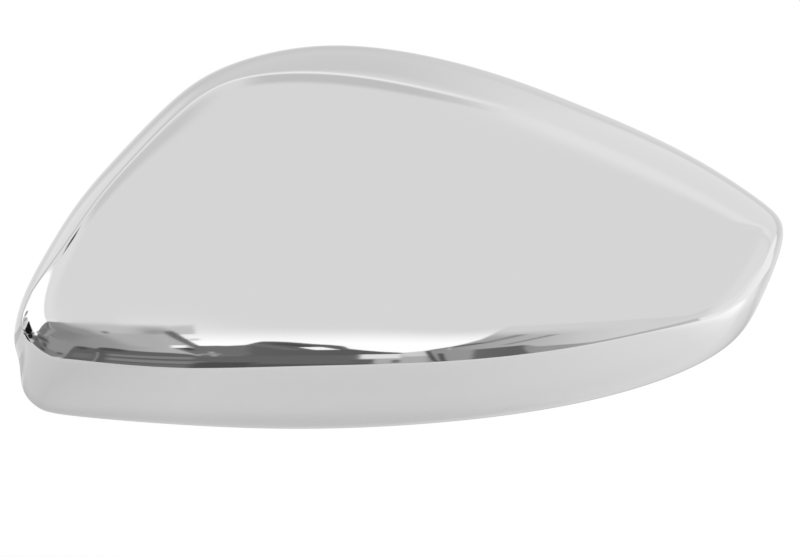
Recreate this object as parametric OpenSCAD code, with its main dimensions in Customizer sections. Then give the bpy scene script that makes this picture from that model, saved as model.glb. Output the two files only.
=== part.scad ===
// Wing mirror cover: one moulded and chrome-plated shell. A leaning, slightly crowned
// front face rolls over at its edge into a deep side band. Inside are two locating
// pins on finned bosses, ribs that follow the skin, three rigid hooks along the top
// and three snap fingers along the bottom. All sizes are in millimetres.
// +X runs along the cover, +Z is up on the car, +Y is the way it is pushed on.
// The origin is the seat of the main locating pin.

/* [Cover] */
// Overall width of the cover
cover_w = 236; // [210:1:260]
// Overall height of the cover
cover_h = 118; // [106:1:130]
// Depth of the rim's lowest point behind the front
rim_depth = 36; // [32:0.5:42]
// How fast the rim gets deeper with height
rim_slope = 0.2; // [0.14:0.01:0.24]
// Thickness of the moulded wall
wall = 2.5; // [2:0.1:2.8]

/* [Front face] */
// Lean of the face at its lower edge, as a slope
lean_low = 0.12; // [0.08:0.01:0.16]
// Lean of the face at its upper edge, as a slope
lean_top = 0.62; // [0.54:0.01:0.68]
// Radius of the crown along the cover
crown_r = 300; // [250:5:400]
// Where the crown is foremost, as a share of the width
crown_at = 0.47; // [0.42:0.01:0.52]
// Fullness of the side band
band_full = 0.42; // [0.36:0.01:0.48]

/* [Rim] */
// Depth of the lap where the wall is thinner
lap_d = 4; // [3:0.5:5]
// Thickness of the lap
lap_t = 1.3; // [1:0.1:1.6]
// Chamfer on the outer edge of the rim
rim_edge = 0.4; // [0.2:0.1:0.6]

/* [Locating pins] */
// Radius of the main pin
pin_r = 3; // [2.5:0.1:3.5]
// Radius of the second pin
pin2_r = 2.5; // [2:0.1:3]
// Free length of both pins
pin_len = 12; // [9:0.5:14]
// Chamfer on the tips of the pins
pin_tip = 0.8; // [0.4:0.1:1.2]
// Depth of the pins' seats behind the front
seat_y = 30; // [28:0.5:33]
// Distance of the second pin to the right of the main one
pin2_dx = 66; // [58:0.5:72]
// Height of the second pin above the main one
pin2_dz = 4; // [0:0.5:8]
// Radius of the round seat under a pin
boss_r = 5.5; // [5:0.1:6]
// Thickness of that seat
seat_t = 2; // [1.5:0.1:2.5]
// Radius of the boss core
core_r = 3.1; // [2.6:0.1:3.2]
// Reach of the boss fins at the skin
fin_reach = 13; // [11:0.5:15]
// Thickness of the boss fins
fin_t = 1.6; // [1.2:0.1:2]

/* [Ribs] */
// Height of the ribs over the inner skin
rib_h = 2.4; // [1.5:0.1:3.5]
// Thickness of the ribs
rib_t = 1.4; // [1:0.1:1.8]

/* [Clips] */
// Width of a rigid hook
hook_w = 12; // [9:0.5:15]
// Thickness of a hook's tongue
hook_t = 2.2; // [1.8:0.1:2.6]
// Width of a snap finger
snap_w = 11; // [8:0.5:14]
// Thickness of a snap finger
snap_t = 1.8; // [1.5:0.1:2.2]
// How far the tips of the hooks lie below the rim
hook_tip = 2; // [1:0.1:2.5]
// How far the tips of the snap fingers lie below the rim
snap_tip = 1; // [0.5:0.1:2]
// Slot between a tongue and the wall
clip_gap = 3; // [2.5:0.1:3.5]
// How far a barb stands out from its tongue
barb = 1.8; // [1.2:0.1:2.4]
// How far below the tip of its tongue a barb begins
barb_foot = 4.2; // [3.8:0.1:4.6]
// How far below the tip the flat of a barb begins
barb_low = 3.4; // [3.2:0.1:3.6]
// How far below the tip the flat of a barb ends
barb_high = 2.8; // [2.4:0.1:3]
// Depth of the clips' shelves, as a share of the band's depth
clip_root = 0.5; // [0.42:0.01:0.54]
// Reach of the webs under a shelf, as a share of the band's depth
web_drop = 0.2; // [0.12:0.01:0.24]
// Thickness of the webs under each hook
web_t = 1.4; // [1:0.1:1.8]
// How far the webs stand in from the faces of a hook
web_inset = 0.3; // [0.2:0.1:0.6]

/* [Hidden] */

// Each row: rim x and z, fold x and z in percent of the overall size, then the width of
// the roll along the spoke, its drop and the cut at the fold in mm; clockwise from the left.
stations = [
  [0.0, 23.6, 1.15, 27.0, 13, 2.2, 0.8],
  [1.2, 34.5, 2.2, 34.8, 11, 1.9, 0.8],
  [4.4, 47.0, 6.5, 47.0, 9, 1.2, 0.8],
  [8.4, 59.5, 11.1, 59.9, 8.5, 1.0, 0.8],
  [13.7, 71.9, 16.3, 71.9, 8.5, 0.9, 1.0],
  [19.8, 84.4, 21.4, 82.1, 8.5, 0.9, 1.0],
  [26.6, 93.8, 27.8, 90.3, 8.5, 0.9, 1.0],
  [37.0, 99.4, 37.2, 92.7, 8.5, 0.9, 1.0],
  [48.6, 99.0, 47.9, 90.4, 9, 0.9, 1.0],
  [61.5, 93.2, 60.0, 85.0, 10, 0.8, 2.4],
  [74.5, 83.6, 72.2, 77.2, 22, 0.5, 8.0],
  [87.4, 71.7, 83.8, 65.6, 34, 0.3, 11.0],
  [97.2, 59.2, 94.5, 54.5, 34, 0.3, 7.0],
  [100.0, 49.9, 98.6, 48.9, 24, 0.3, 5.0],
  [97.3, 34.5, 95.6, 36.4, 20, 0.3, 6.0],
  [93.1, 22.1, 91.1, 29.6, 22, 0.35, 3.6],
  [84.2, 12.7, 83.2, 25.6, 25, 0.5, 1.2],
  [70.9, 5.7, 70.9, 20.7, 23, 1.15, 0.6],
  [55.3, 1.6, 55.3, 17.4, 18, 1.7, 0.6],
  [38.9, 0.0, 38.9, 16.3, 16.5, 1.9, 0.6],
  [22.7, 0.9, 22.0, 15.45, 22, 2.0, 0.6],
  [8.0, 3.25, 9.0, 16.75, 25, 2.1, 0.6],
  [3.1, 5.55, 4.5, 19.1, 22, 2.2, 0.6],
  [1.15, 10.3, 2.6, 22.0, 18, 2.2, 0.6],
  [0.65, 17.2, 1.7, 24.2, 15, 2.2, 0.7],
];
n_st = len(stations);
// places around the cover between two stations
per_st = 5;
n_round = n_st * per_st;
// the hub of the section lines, where the main pin stands
hub = [0.44 * cover_w, 0.5 * cover_h];
crown_x = crown_at * cover_w;
face_low = 0.19 * cover_h;
face_top = 0.92 * cover_h;
lean_rate = (lean_top - lean_low) / (face_top - face_low);

// Closed smooth curve through all the stations.
z1 = sqrt(3) - 2;
function wrap(i) = (i + 8 * n_st) % n_st;
function sized(r) = [
  r[0] * cover_w / 100, r[1] * cover_h / 100, r[2] * cover_w / 100, r[3] * cover_h / 100,
  r[4], r[5], r[6]
];
pulls = [for (k = [-10:10]) sqrt(3) * pow(z1, abs(k))];
ctrl = [for (i = [0:n_st - 1]) pulls * [for (k = [-10:10]) sized(stations[wrap(i + k)])]];
function loop_at(t) =
  let (i = floor(t), f = t - i)
  [pow(1 - f, 3) / 6, (3 * f * f * f - 6 * f * f + 4) / 6,
   (3 * f + 3 * f * f - 3 * f * f * f + 1) / 6, f * f * f / 6]
  * [for (k = [-1:2]) ctrl[wrap(i + k)]];
function unit(v) = v / norm(v);

// Section line: 0 rim, 1 fold, 2 outward at rim, 3 outward at fold, 4 roll width,
// 5 roll drop, 6 cut, 7 length of the spoke, 8 facing of the spoke.
function section_at(t) =
  let (q = loop_at(t), d = loop_at(t + 0.02) - loop_at(t - 0.02))
  let (fold = [q[2], q[3]], out = unit([-d[3], d[2]]), spoke = fold - hub)
  [[q[0], q[1]], fold, unit([-d[1], d[0]]), out, q[4], q[5], max(q[6], 0.4),
   norm(spoke), unit(spoke) * out];

// Front skin without the roll: depth and slopes.
function crown(p) =
  lean_low * (p[1] - face_low) + lean_rate / 2 * pow(p[1] - face_low, 2)
  + pow(p[0] - crown_x, 2) / (2 * crown_r);
function crown_slope(p) =
  [(p[0] - crown_x) / crown_r, lean_low + lean_rate * (p[1] - face_low)];

// A point of the face, at share r of the spoke and d below the outer skin.
function roll_share(c, r) = min(1, max(0, 1 - (1 - r) * c[7] / c[4]));
function roll_slope(c) = 3 * c[5] / (c[4] * c[8]);
function face(c, r, d) =
  let (p = hub + r * (c[1] - hub), s = roll_share(c, r))
  let (g = crown_slope(p) + roll_slope(c) * s * s * c[3])
  [p[0], crown(p) + c[5] * s * s * s + d * sqrt(1 + g * g), p[1]];

// The rim, the corner under the fold and the knee of the band, d below the outer skin.
function rim(c, d) =
  let (p = c[0] - d * c[2])
  [p[0], rim_depth + rim_slope * p[1], p[1]];
function knee(r, k) = [r[0], k[1] + band_full * (r[1] - k[1]), r[2]];
function corner_share(c, d) =
  let (k = face(c, 1, 0), r = rim(c, 0), q = knee(r, k))
  let (m = crown_slope(c[1]) * c[3] + roll_slope(c))
  let (a = ([q[0], q[2]] - c[1]) * c[3], b = q[1] - k[1])
  1 - d * (norm([a, b]) - a * sqrt(1 + m * m)) / (b - m * a) / (c[7] * c[8]);
function band(c, s, d) =
  let (k = face(c, corner_share(c, d), d), r = rim(c, d), q = knee(r, k))
  (1 - s) * (1 - s) * k + 2 * s * (1 - s) * q + s * s * r;
// place along the band that lies e short of the rim
function band_share(c, e, d) =
  let (k = face(c, corner_share(c, d), d), r = rim(c, d), q = knee(r, k))
  let (a = k[1] - 2 * q[1] + r[1], b = 2 * (q[1] - r[1]))
  1 - (-b - sqrt(b * b - 4 * a * e)) / (2 * a);

// Rings of points from the hub to the rim, d below the outer skin.
n_main = 5;
n_roll = 4;
n_edge = 3;
n_band = 6;
function cut_share(c, d) = max(c[6] - d, 0.4);
function face_end(c, d) = corner_share(c, d) - cut_share(c, d) / (c[7] * c[8]);
function roll_start(c) = 1 - c[4] / c[7];
function band_start(c, d) =
  let (k = face(c, corner_share(c, d), d), q = knee(rim(c, d), k))
  cut_share(c, d) / (2 * norm(q - k));
function face_line(c, d, a, b) = concat(
  [for (j = [1:a]) face(c, roll_start(c) * j / a, d)],
  [for (j = [1:b]) face(c, roll_start(c) + (face_end(c, d) - roll_start(c)) * j / b, d)]);
function edge_line(c, d, n) =
  let (re = face_end(c, d), sb = band_start(c, d), h = 0.002)
  let (a = face(c, re, d), b = band(c, sb, d))
  let (ta = unit(face(c, re + h, d) - face(c, re - h, d)))
  let (tb = unit(band(c, sb + h, d) - band(c, sb - h, d)))
  let (reach = 0.36 * norm(b - a))
  let (p = a + ta * reach, q = b - tb * reach)
  [for (j = [1:n - 1]) let (u = j / n)
    pow(1 - u, 3) * a + 3 * u * pow(1 - u, 2) * p + 3 * u * u * (1 - u) * q + u * u * u * b];
function band_line(c, d, s_end, n) =
  let (sb = band_start(c, d))
  [for (j = [0:n]) band(c, sb + (s_end - sb) * j / n, d)];
function back_to_front(v) = [for (i = [len(v) - 1:-1:0]) v[i]];

function skin_line(t) =
  let (c = section_at(t), sl = band_share(c, lap_d, wall))
  concat(
    face_line(c, 0, n_main, n_roll),
    edge_line(c, 0, n_edge),
    band_line(c, 0, band_share(c, rim_edge, 0), n_band),
    [rim(c, rim_edge), rim(c, lap_t), band(c, band_share(c, lap_d, lap_t), lap_t)],
    back_to_front(band_line(c, wall, sl, n_band - 3)),
    back_to_front(edge_line(c, wall, 2)),
    back_to_front(face_line(c, wall, n_main - 2, n_roll - 2)));

module shell() {
  lines = [for (i = [0:n_round - 1]) skin_line(i / per_st)];
  n = len(lines[0]);
  g = crown_slope(hub);
  front = [hub[0], crown(hub), hub[1]];
  back = front + [0, wall * sqrt(1 + g * g), 0];
  points = concat([front, back], [for (l = lines) for (p = l) p]);
  faces = [for (i = [0:n_round - 1])
    let (a = 2 + i * n, b = 2 + ((i + 1) % n_round) * n)
    each concat(
      [[0, a, b], [1, b + n - 1, a + n - 1]],
      [for (k = [0:n - 2]) each [[a + k, b + k + 1, b + k], [a + k, a + k + 1, b + k + 1]]])];
  polyhedron(points, faces, convexity = 10);
}

// depth of the band behind the fold, and the depth of the clips' shelves below the rim
function band_depth(c) = rim(c, 0)[1] - face(c, 1, 0)[1];
function shelf_at(c) = clip_root * band_depth(c);

// A rib along a section line, from share r of the spoke over the fold to a clip's shelf.
module rib(t, r, thick) {
  c = section_at(t);
  side = [-c[3][1], 0, c[3][0]] * rib_t / 2;
  n = 7;
  m = n + 6;
  last = shelf_at(c) + thick / 2;
  function line(d) =
    let (sb = band_start(c, d), sl = band_share(c, last, d))
    concat(
      [for (j = [0:n - 1]) face(c, r + (face_end(c, d) - r) * j / (n - 1), d)],
      edge_line(c, d, 3),
      [for (j = [0:3]) band(c, sb + (sl - sb) * j / 3, d)]);
  low = line(wall / 2);
  foot = line(wall * 0.8);
  high = line(wall + rib_h);
  rows = [for (j = [0:m - 1])
    let (a = low[j], b = j == 0 ? foot[0] : high[j])
    each [a - side, a + side, b + side, b - side]];
  faces = [for (j = [0:m - 2]) for (k = [0:3])
    let (a = 4 * j + k, b = 4 * j + (k + 1) % 4)
    each [[a, b, b + 4], [a, b + 4, a + 4]]];
  polyhedron(rows, concat([[3, 2, 1, 0]], faces, [[4 * m - 4, 4 * m - 3, 4 * m - 2, 4 * m - 1]]));
}

// Children drawn as x inward from the rim's outer edge and y from the rim plane.
module on_rim(c, w, shift) {
  n = -c[2];
  p = rim(c, 0) + shift * [-n[1], 0, n[0]];
  multmatrix([[n[0], 0, -n[1], p[0]], [0, 1, 0, p[1]], [n[1], 0, n[0], p[2]], [0, 0, 0, 1]])
    translate([0, 0, -w / 2]) linear_extrude(w) children();
}
// distance of the skin, d under its outside, inward from the rim's outer edge
function inward(c, y, d) =
  let (p = band(c, band_share(c, y, d), d)) ([p[0], p[2]] - c[0]) * -c[2];

// Face of a tongue that looks at the wall.
function tongue_at(c, tip) = inward(c, tip, wall) + clip_gap;

// Tongue that rises from the skin or a short shelf, with its barb turned inward.
module tongue(t, w, thick, tip) {
  c = section_at(t);
  top = shelf_at(c);
  low = top + thick;
  u = tongue_at(c, tip);
  on_rim(c, w, 0) polygon([
    [inward(c, low, wall * 0.7), -low], [u + thick, -low], [u + thick, -tip - barb_foot],
    [u + thick + barb, -tip - barb_low], [u + thick + barb, -tip - barb_high],
    [u + thick * 0.6, -tip], [u, -tip], [u, -top], [inward(c, top, wall * 0.7), -top]]);
}

// Two webs that brace the shelf of a rigid hook.
module webs(t, w, thick, tip) {
  c = section_at(t);
  low = shelf_at(c) + thick;
  foot = low + web_drop * band_depth(c);
  edge = tongue_at(c, tip) + thick - web_inset;
  for (side = [-1, 1])
    on_rim(c, web_t, side * ((w - web_t) / 2 - web_inset)) polygon([
      [inward(c, low - thick / 2, wall * 0.6), -low + thick / 2], [edge, -low + thick / 2],
      [edge, -low - 1], [inward(c, foot, wall * 0.6), -foot]]);
}

function middle(p) = crown(p) + wall / 2 * norm([crown_slope(p)[0], crown_slope(p)[1], 1]);

// A locating pin on its boss: a core, four fins down to the skin and a round seat.
module locating_pin(at, r) {
  y = middle(at);
  translate([at[0], 0, at[1]]) rotate([-90, 0, 0]) {
    translate([0, 0, y]) cylinder(h = seat_y - y, r = core_r, $fn = 40);
    translate([0, 0, seat_y - seat_t]) cylinder(h = seat_t, r = boss_r, $fn = 40);
    translate([0, 0, seat_y - 1]) cylinder(h = pin_len + 1 - pin_tip, r = r, $fn = 40);
    translate([0, 0, seat_y + pin_len - pin_tip])
      cylinder(h = pin_tip, r1 = r, r2 = r - pin_tip * 0.6, $fn = 40);
  }
  for (a = [0:90:270]) {
    d = [cos(a), sin(a)];
    foot = at + fin_reach * d;
    multmatrix([[d[0], 0, -d[1], at[0]], [0, 1, 0, 0], [d[1], 0, d[0], at[1]], [0, 0, 0, 1]])
      translate([0, 0, -fin_t / 2]) linear_extrude(fin_t) polygon([
        [0, y], [fin_reach, middle(foot)], [fin_reach, middle(foot) + wall / 2 + 1.5],
        [boss_r - 0.3, seat_y - seat_t / 2], [0, seat_y - seat_t / 2]]);
  }
}

hooks_at = [5.9, 8.2, 10.3];
snaps_at = [16.6, 18.7, 20.8];

module cover() {
  color([0.78, 0.79, 0.8])
  translate([-hub[0], -seat_y, -hub[1]])
  union() {
    shell();
    for (t = hooks_at) {
      tongue(t, hook_w, hook_t, hook_tip);
      webs(t, hook_w, hook_t, hook_tip);
      rib(t, (fin_reach - 2) / section_at(t)[7], hook_t);
    }
    for (t = snaps_at) {
      tongue(t, snap_w, snap_t, snap_tip);
      rib(t, (fin_reach - 2) / section_at(t)[7], snap_t);
    }
    locating_pin(hub, pin_r);
    locating_pin(hub + [pin2_dx, pin2_dz], pin2_r);
  }
}

cover();
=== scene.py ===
"""Looks of the wing mirror cover: the plated shell drawn finely, its ribs, clips and pins,
and a white photo table with a dim room in front of it, which the plating mirrors."""

import math

import bpy
import numpy as np
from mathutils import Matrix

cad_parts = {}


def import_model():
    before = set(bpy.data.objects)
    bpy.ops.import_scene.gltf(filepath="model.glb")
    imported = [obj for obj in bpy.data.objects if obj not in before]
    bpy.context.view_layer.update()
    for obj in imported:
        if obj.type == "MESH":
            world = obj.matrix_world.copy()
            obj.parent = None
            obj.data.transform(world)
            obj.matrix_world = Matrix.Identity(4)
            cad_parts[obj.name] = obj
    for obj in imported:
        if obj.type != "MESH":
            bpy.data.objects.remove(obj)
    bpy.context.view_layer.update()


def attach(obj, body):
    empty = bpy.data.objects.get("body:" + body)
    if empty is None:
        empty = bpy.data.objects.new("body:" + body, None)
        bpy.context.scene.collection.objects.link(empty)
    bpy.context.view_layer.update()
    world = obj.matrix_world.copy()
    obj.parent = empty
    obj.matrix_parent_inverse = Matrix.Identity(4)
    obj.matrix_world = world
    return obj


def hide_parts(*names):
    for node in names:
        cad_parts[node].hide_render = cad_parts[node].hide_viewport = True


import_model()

# ---- Sizes, in millimetres, the same as the solids' ----
COVER_W, COVER_H = 236.0, 118.0
RIM_DEPTH, RIM_SLOPE = 36.0, 0.2
WALL = 2.5
LEAN_LOW, LEAN_TOP = 0.12, 0.62
CROWN_R, CROWN_AT = 300.0, 0.47
BAND_FULL = 0.42
LAP_D, LAP_T, RIM_EDGE = 4.0, 1.3, 0.4
PIN_R, PIN2_R, PIN_LEN, PIN_TIP = 3.0, 2.5, 12.0, 0.8
SEAT_Y, SEAT_T = 30.0, 2.0
PIN2_OFFSET = np.array([66.0, 4.0])
BOSS_R, CORE_R, FIN_REACH, FIN_T = 5.5, 3.1, 13.0, 1.6
RIB_H, RIB_T = 2.4, 1.4
HOOK_W, HOOK_T, HOOK_TIP = 12.0, 2.2, 2.0
SNAP_W, SNAP_T, SNAP_TIP = 11.0, 1.8, 1.0
CLIP_GAP, BARB = 3.0, 1.8
CLIP_ROOT, WEB_DROP, WEB_T, WEB_INSET = 0.5, 0.2, 1.4, 0.3
HOOKS_AT = (5.9, 8.2, 10.3)
SNAPS_AT = (16.6, 18.7, 20.8)
LEAST_CUT, CORNER_PULL = 0.4, 0.36
HUB = np.array([0.44 * COVER_W, 0.5 * COVER_H])
FACE_LOW, FACE_TOP = 0.19 * COVER_H, 0.92 * COVER_H
CROWN_X = CROWN_AT * COVER_W
LEAN_RATE = (LEAN_TOP - LEAN_LOW) / (FACE_TOP - FACE_LOW)

# Rim x and z, fold x and z in percent of the overall size, then the width of the roll along
# the spoke, its drop and the cut at the fold in mm; clockwise from the left.
STATIONS = [
    [0.0, 23.6, 1.15, 27.0, 13, 2.2, 0.8],
    [1.2, 34.5, 2.2, 34.8, 11, 1.9, 0.8],
    [4.4, 47.0, 6.5, 47.0, 9, 1.2, 0.8],
    [8.4, 59.5, 11.1, 59.9, 8.5, 1.0, 0.8],
    [13.7, 71.9, 16.3, 71.9, 8.5, 0.9, 1.0],
    [19.8, 84.4, 21.4, 82.1, 8.5, 0.9, 1.0],
    [26.6, 93.8, 27.8, 90.3, 8.5, 0.9, 1.0],
    [37.0, 99.4, 37.2, 92.7, 8.5, 0.9, 1.0],
    [48.6, 99.0, 47.9, 90.4, 9, 0.9, 1.0],
    [61.5, 93.2, 60.0, 85.0, 10, 0.8, 2.4],
    [74.5, 83.6, 72.2, 77.2, 22, 0.5, 8.0],
    [87.4, 71.7, 83.8, 65.6, 34, 0.3, 11.0],
    [97.2, 59.2, 94.5, 54.5, 34, 0.3, 7.0],
    [100.0, 49.9, 98.6, 48.9, 24, 0.3, 5.0],
    [97.3, 34.5, 95.6, 36.4, 20, 0.3, 6.0],
    [93.1, 22.1, 91.1, 29.6, 22, 0.35, 3.6],
    [84.2, 12.7, 83.2, 25.6, 25, 0.5, 1.2],
    [70.9, 5.7, 70.9, 20.7, 23, 1.15, 0.6],
    [55.3, 1.6, 55.3, 17.4, 18, 1.7, 0.6],
    [38.9, 0.0, 38.9, 16.3, 16.5, 1.9, 0.6],
    [22.7, 0.9, 22.0, 15.45, 22, 2.0, 0.6],
    [8.0, 3.25, 9.0, 16.75, 25, 2.1, 0.6],
    [3.1, 5.55, 4.5, 19.1, 22, 2.2, 0.6],
    [1.15, 10.3, 2.6, 22.0, 18, 2.2, 0.6],
    [0.65, 17.2, 1.7, 24.2, 15, 2.2, 0.7],
]


def controls():
    """Control points of the closed cubic spline that passes through every station."""
    p = np.array(STATIONS, float)
    p[:, [0, 2]] *= COVER_W / 100
    p[:, [1, 3]] *= COVER_H / 100
    reach = range(-10, 11)
    fade = math.sqrt(3) - 2
    return sum(math.sqrt(3) * fade ** abs(k) * np.roll(p, -k, 0) for k in reach)


CONTROLS = controls()
SIDE_STEP = 0.02  # of a station, between the two places that give the loop's direction


def loop_at(t):
    """The rim, the fold and the roll's sizes at places t round the cover."""
    i = np.floor(t).astype(int)
    f = (t - i)[:, None]
    weights = (
        (1 - f) ** 3 / 6,
        (3 * f**3 - 6 * f**2 + 4) / 6,
        (-3 * f**3 + 3 * f**2 + 3 * f + 1) / 6,
        f**3 / 6,
    )
    n = len(CONTROLS)
    return sum(w * CONTROLS[(i - 1 + k) % n] for k, w in enumerate(weights))


def length(v):
    return np.linalg.norm(v, axis=-1)


def unit(v):
    return v / length(v)[..., None]


def outward(d):
    """Unit vector to the left of a step d, which is away from the cover."""
    return unit(np.stack([-d[:, 1], d[:, 0]], -1))


def crown(x, z):
    """Depth of the front skin, without the roll at its edge."""
    up = z - FACE_LOW
    return LEAN_LOW * up + LEAN_RATE / 2 * up**2 + (x - CROWN_X) ** 2 / (2 * CROWN_R)


def crown_slope(x, z):
    return np.stack([(x - CROWN_X) / CROWN_R, LEAN_LOW + LEAN_RATE * (z - FACE_LOW)], -1)


class Sections:
    """Section lines of the cover at places t round it. r is a share of the line from the hub
    to the fold, s a share of the band from the fold to the rim, and d the depth under the skin."""

    def __init__(self, t):
        t = np.atleast_1d(np.asarray(t, float))
        q = loop_at(t)
        step = loop_at(t + SIDE_STEP) - loop_at(t - SIDE_STEP)
        self.rim2, self.fold2 = q[:, 0:2], q[:, 2:4]
        self.out_rim, self.out = outward(step[:, 0:2]), outward(step[:, 2:4])
        self.roll_w, self.roll_h = q[:, 4], q[:, 5]
        self.cut = np.maximum(q[:, 6], LEAST_CUT)
        self.spoke = self.fold2 - HUB
        self.spoke_len = length(self.spoke)
        facing = np.sum(unit(self.spoke) * self.out, 1)
        self.reach = self.spoke_len * facing
        self.roll_slope = 3 * self.roll_h / (self.roll_w * facing)

    def face(self, r, d):
        """Points of the front skin and its roll, at shares r and d under the skin."""
        r = np.asarray(r, float)
        r = r if r.ndim == 2 else r[:, None]
        p = HUB + r[..., None] * self.spoke[:, None]
        s = np.clip(1 - (1 - r) * (self.spoke_len / self.roll_w)[:, None], 0, 1)
        g = crown_slope(p[..., 0], p[..., 1])
        g = g + (self.roll_slope[:, None] * s**2)[..., None] * self.out[:, None]
        y = crown(p[..., 0], p[..., 1]) + self.roll_h[:, None] * s**3
        y = y + d * np.sqrt(1 + np.sum(g**2, -1))
        return np.stack([p[..., 0], y, p[..., 1]], -1)

    def rim(self, d):
        """The rim, drawn in by d."""
        p = self.rim2 - d * self.out_rim
        return np.stack([p[:, 0], RIM_DEPTH + RIM_SLOPE * p[:, 1], p[:, 1]], -1)

    @staticmethod
    def knee(rim, corner):
        """The point that makes the band full."""
        q = rim.copy()
        q[:, 1] = corner[:, 1] + BAND_FULL * (rim[:, 1] - corner[:, 1])
        return q

    def corner_share(self, d):
        """Share of the spoke at which the face, d under the skin, meets the band."""
        k = self.face(np.ones(len(self.cut)), 0)[:, 0]
        q = self.knee(self.rim(0), k)
        slope = crown_slope(self.fold2[:, 0], self.fold2[:, 1])
        m = np.sum(slope * self.out, 1) + self.roll_slope
        a = np.sum((q[:, [0, 2]] - self.fold2) * self.out, 1)
        b = q[:, 1] - k[:, 1]
        back = d * (np.hypot(a, b) - a * np.sqrt(1 + m**2)) / (b - m * a)
        return 1 - back / self.reach

    def frame_of_band(self, d):
        """The band's corner at the fold, its knee and its rim, d under the skin."""
        k = self.face(self.corner_share(d), d)[:, 0]
        r = self.rim(d)
        return k, self.knee(r, k), r

    def band(self, s, d):
        """Points of the band at shares s and d under the skin."""
        s = np.asarray(s, float)
        s = (s if s.ndim == 2 else s[:, None])[..., None]
        k, q, r = (p[:, None] for p in self.frame_of_band(d))
        return (1 - s) ** 2 * k + 2 * s * (1 - s) * q + s**2 * r

    def band_share(self, e, d):
        """Place along the band that lies e short of the rim."""
        k, q, r = self.frame_of_band(d)
        a = k[:, 1] - 2 * q[:, 1] + r[:, 1]
        b = 2 * (q[:, 1] - r[:, 1])
        return 1 - (-b - np.sqrt(b * b - 4 * a * e)) / (2 * a)

    def cut_at(self, d):
        """How far the rounded fold reaches to both sides of its corner."""
        return np.maximum(self.cut - d, LEAST_CUT)

    def face_end(self, d):
        return self.corner_share(d) - self.cut_at(d) / self.reach

    def band_start(self, d):
        k, q, _ = self.frame_of_band(d)
        return self.cut_at(d) / (2 * length(q - k))

    def face_line(self, d, n_main, n_roll):
        """The face from near the hub to the rounded fold."""
        start = 1 - self.roll_w / self.spoke_len
        end = self.face_end(d)
        a = np.linspace(0, 1, n_main + 1)[1:]
        b = np.linspace(0, 1, n_roll + 1)[1:]
        main = start[:, None] * a
        roll = start[:, None] + (end - start)[:, None] * b
        return self.face(np.concatenate([main, roll], 1), d)

    def edge_line(self, d, n):
        """The rounded fold between the face's end and the band's start, without its ends."""
        h = 0.002
        end, start = self.face_end(d), self.band_start(d)
        a, b = self.face(end, d), self.band(start, d)
        ta = unit(self.face(end + h, d) - self.face(end - h, d))
        tb = unit(self.band(start + h, d) - self.band(start - h, d))
        reach = CORNER_PULL * length(b - a)[..., None]
        u = (np.arange(1, n) / n)[None, :, None]
        p, q = a + ta * reach, b - tb * reach
        return (1 - u) ** 3 * a + 3 * u * (1 - u) ** 2 * p + 3 * u**2 * (1 - u) * q + u**3 * b

    def band_line(self, d, end, n):
        """The band from the rounded fold to the share end."""
        start = self.band_start(d)[:, None]
        return self.band(start + (np.asarray(end)[:, None] - start) * np.arange(n + 1) / n, d)


# ---- Meshes ----
ORIGIN = np.array([HUB[0], SEAT_Y, HUB[1]])


def add_mesh(name, points, faces, material, smooth=True):
    """A piece from points in the cover's own millimetres, placed in the row's frame."""
    mesh = bpy.data.meshes.new(name)
    mesh.from_pydata(((np.asarray(points) - ORIGIN) / 1000).tolist(), [], faces)
    mesh.validate()
    mesh.polygons.foreach_set("use_smooth", [smooth] * len(mesh.polygons))
    piece = bpy.data.objects.new(name, mesh)
    bpy.context.scene.collection.objects.link(piece)
    piece.data.materials.append(material)
    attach(piece, "root")
    return piece


# Steps round the cover, and along each part of a section line, outside and inside
N_ROUND = 576
OUT_MAIN, OUT_ROLL, OUT_EDGE, OUT_BAND = 26, 40, 10, 34
IN_MAIN, IN_ROLL, IN_EDGE, IN_BAND = 12, 12, 6, 16
RIM_TURNS = (30, 60, 90)
LEDGE = 0.15  # how close the lines beside the lap's corners lie, so that they shade crisply


def ring_faces(n_round, n_line, first):
    """Quads between neighbouring section lines; first is the index of the first point."""
    rows, along = np.arange(n_round)[:, None], np.arange(n_line - 1)[None]
    a = first + rows * n_line + along
    b = first + (rows + 1) % n_round * n_line + along
    return np.stack([a, a + 1, b + 1, b], -1).reshape(-1, 4).tolist()


# ---- Shell ----
def shell_lines(lines):
    """Each section line from the hub over the fold and the rim and back along the inside, and
    how many of its points lie on the outside."""
    outside = [lines.face_line(0, OUT_MAIN, OUT_ROLL), lines.edge_line(0, OUT_EDGE)]
    outside.append(lines.band_line(0, lines.band_share(RIM_EDGE, 0), OUT_BAND))
    rim = lines.rim(0)
    for turn in np.radians(RIM_TURNS):
        p = lines.rim(RIM_EDGE * (1 - math.cos(turn)))
        p[:, 1] = rim[:, 1] - RIM_EDGE * (1 - math.sin(turn))
        outside.append(p[:, None])
    inside = [lines.rim(LAP_T - LEDGE)[:, None]]
    # along the lap, then up its step: how far short of the rim, and how deep under the skin
    lap = [(LEDGE, LAP_T), (LAP_D - LEDGE, LAP_T), (LAP_D, LAP_T)]
    for short, d in lap + [(LAP_D, LAP_T + LEDGE), (LAP_D, WALL - LEDGE)]:
        inside.append(lines.band(lines.band_share(short, d), d))
    inside.append(lines.band_line(WALL, lines.band_share(LAP_D, WALL), IN_BAND)[:, ::-1])
    inside.append(lines.edge_line(WALL, IN_EDGE)[:, ::-1])
    inside.append(lines.face_line(WALL, IN_MAIN, IN_ROLL)[:, ::-1])
    n_outside = sum(p.shape[1] for p in outside)
    return np.concatenate(outside + inside, 1), n_outside


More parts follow.
